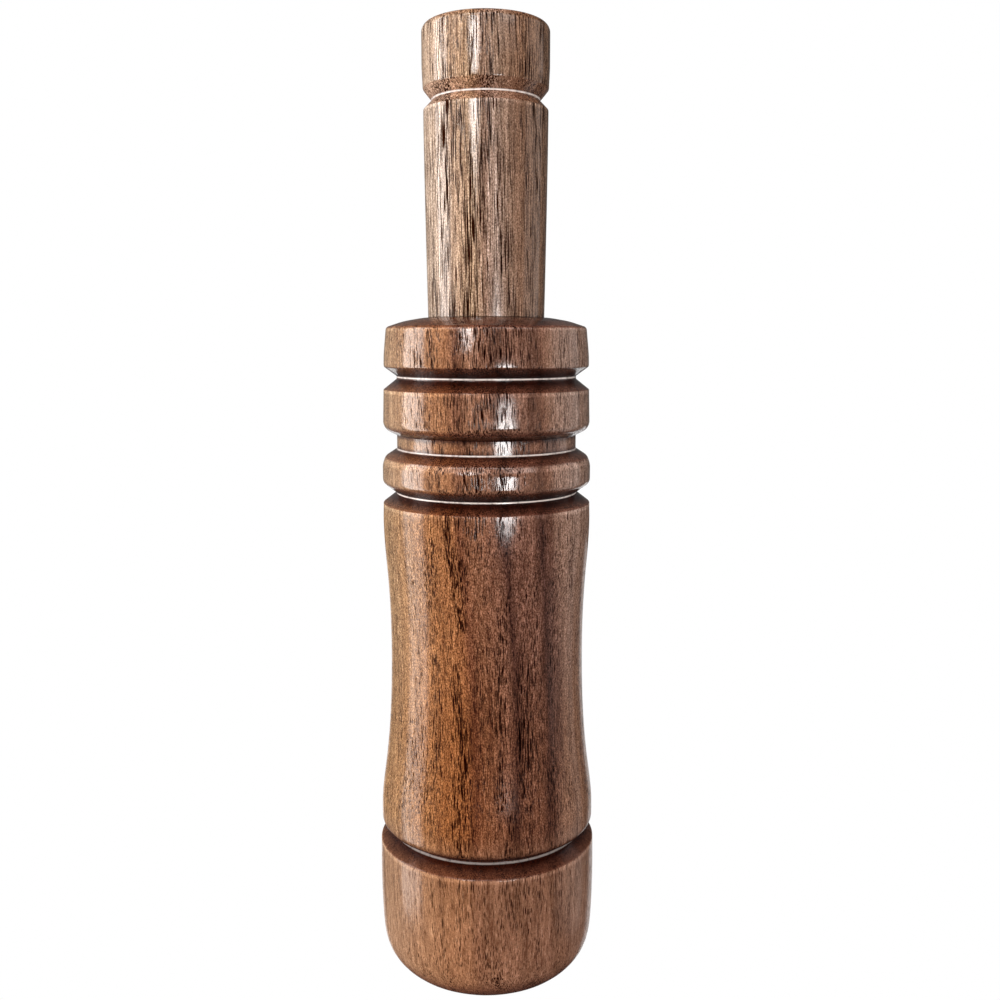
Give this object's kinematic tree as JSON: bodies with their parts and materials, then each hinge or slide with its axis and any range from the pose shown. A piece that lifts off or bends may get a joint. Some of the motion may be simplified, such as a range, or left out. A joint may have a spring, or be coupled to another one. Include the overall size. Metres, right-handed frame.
{
  "type": "duck call",
  "caption": "Turned wooden duck call: ringed, waisted barrel with a lanyard groove, and a slim insert that plugs into it and carries the tone board and reeds.",
  "frame": {"origin": "centre of the mouthpiece's rim, which the call stands on", "axes": "+Z along the call from the mouthpiece to the exhaust end; -Y is the side that the reeds face"},
  "size_m": [0.0352, 0.0352, 0.15],
  "materials": {
    "walnut_barrel": "glossy clear lacquer over warm brown walnut",
    "walnut_insert": "glossy clear lacquer over paler straight-grained walnut",
    "tone_board_plastic": "moulded black plastic",
    "reed_film": "milky polyester film",
    "cork": "cut cork",
    "o_ring_rubber": "black nitrile rubber"
  },
  "bodies": {
    "barrel": {"barrel": "walnut_barrel"},
    "o_rings": {"o_ring_lower": "o_ring_rubber", "o_ring_upper": "o_ring_rubber"},
    "insert": {"insert": "walnut_insert", "tone_board": "tone_board_plastic", "wedge": "cork"},
    "lower_reed": {"lower_reed": "reed_film"},
    "upper_reed": {"upper_reed": "reed_film"}
  },
  "joints": [
    {"name": "insert_slide", "type": "slide", "parent": "barrel", "child": "o_rings", "axis": [0, 0, 1], "range_m": [0, 0.085]},
    {"name": "insert_twist", "type": "hinge", "parent": "o_rings", "child": "insert", "pos_m": [0, 0, 0.0952], "axis": [0, 0, 1], "continuous": true},
    {"name": "lower_reed_flex", "type": "hinge", "parent": "insert", "child": "lower_reed", "pos_m": [0, -0.0005, 0.07275], "axis": [1, 0, 0], "range_deg": [0, 2.2], "stiffness_Nm_per_rad": 0.005, "deforming": ["lower_reed"]},
    {"name": "upper_reed_flex", "type": "hinge", "parent": "insert", "child": "upper_reed", "pos_m": [0, -0.00076, 0.07275], "axis": [1, 0, 0], "range_deg": [0, 2.2], "stiffness_Nm_per_rad": 0.005, "deforming": ["upper_reed"]}
  ],
  "couplings": [
    {"joint": "upper_reed_flex", "follows": "lower_reed_flex", "ratio": 1}
  ]
}
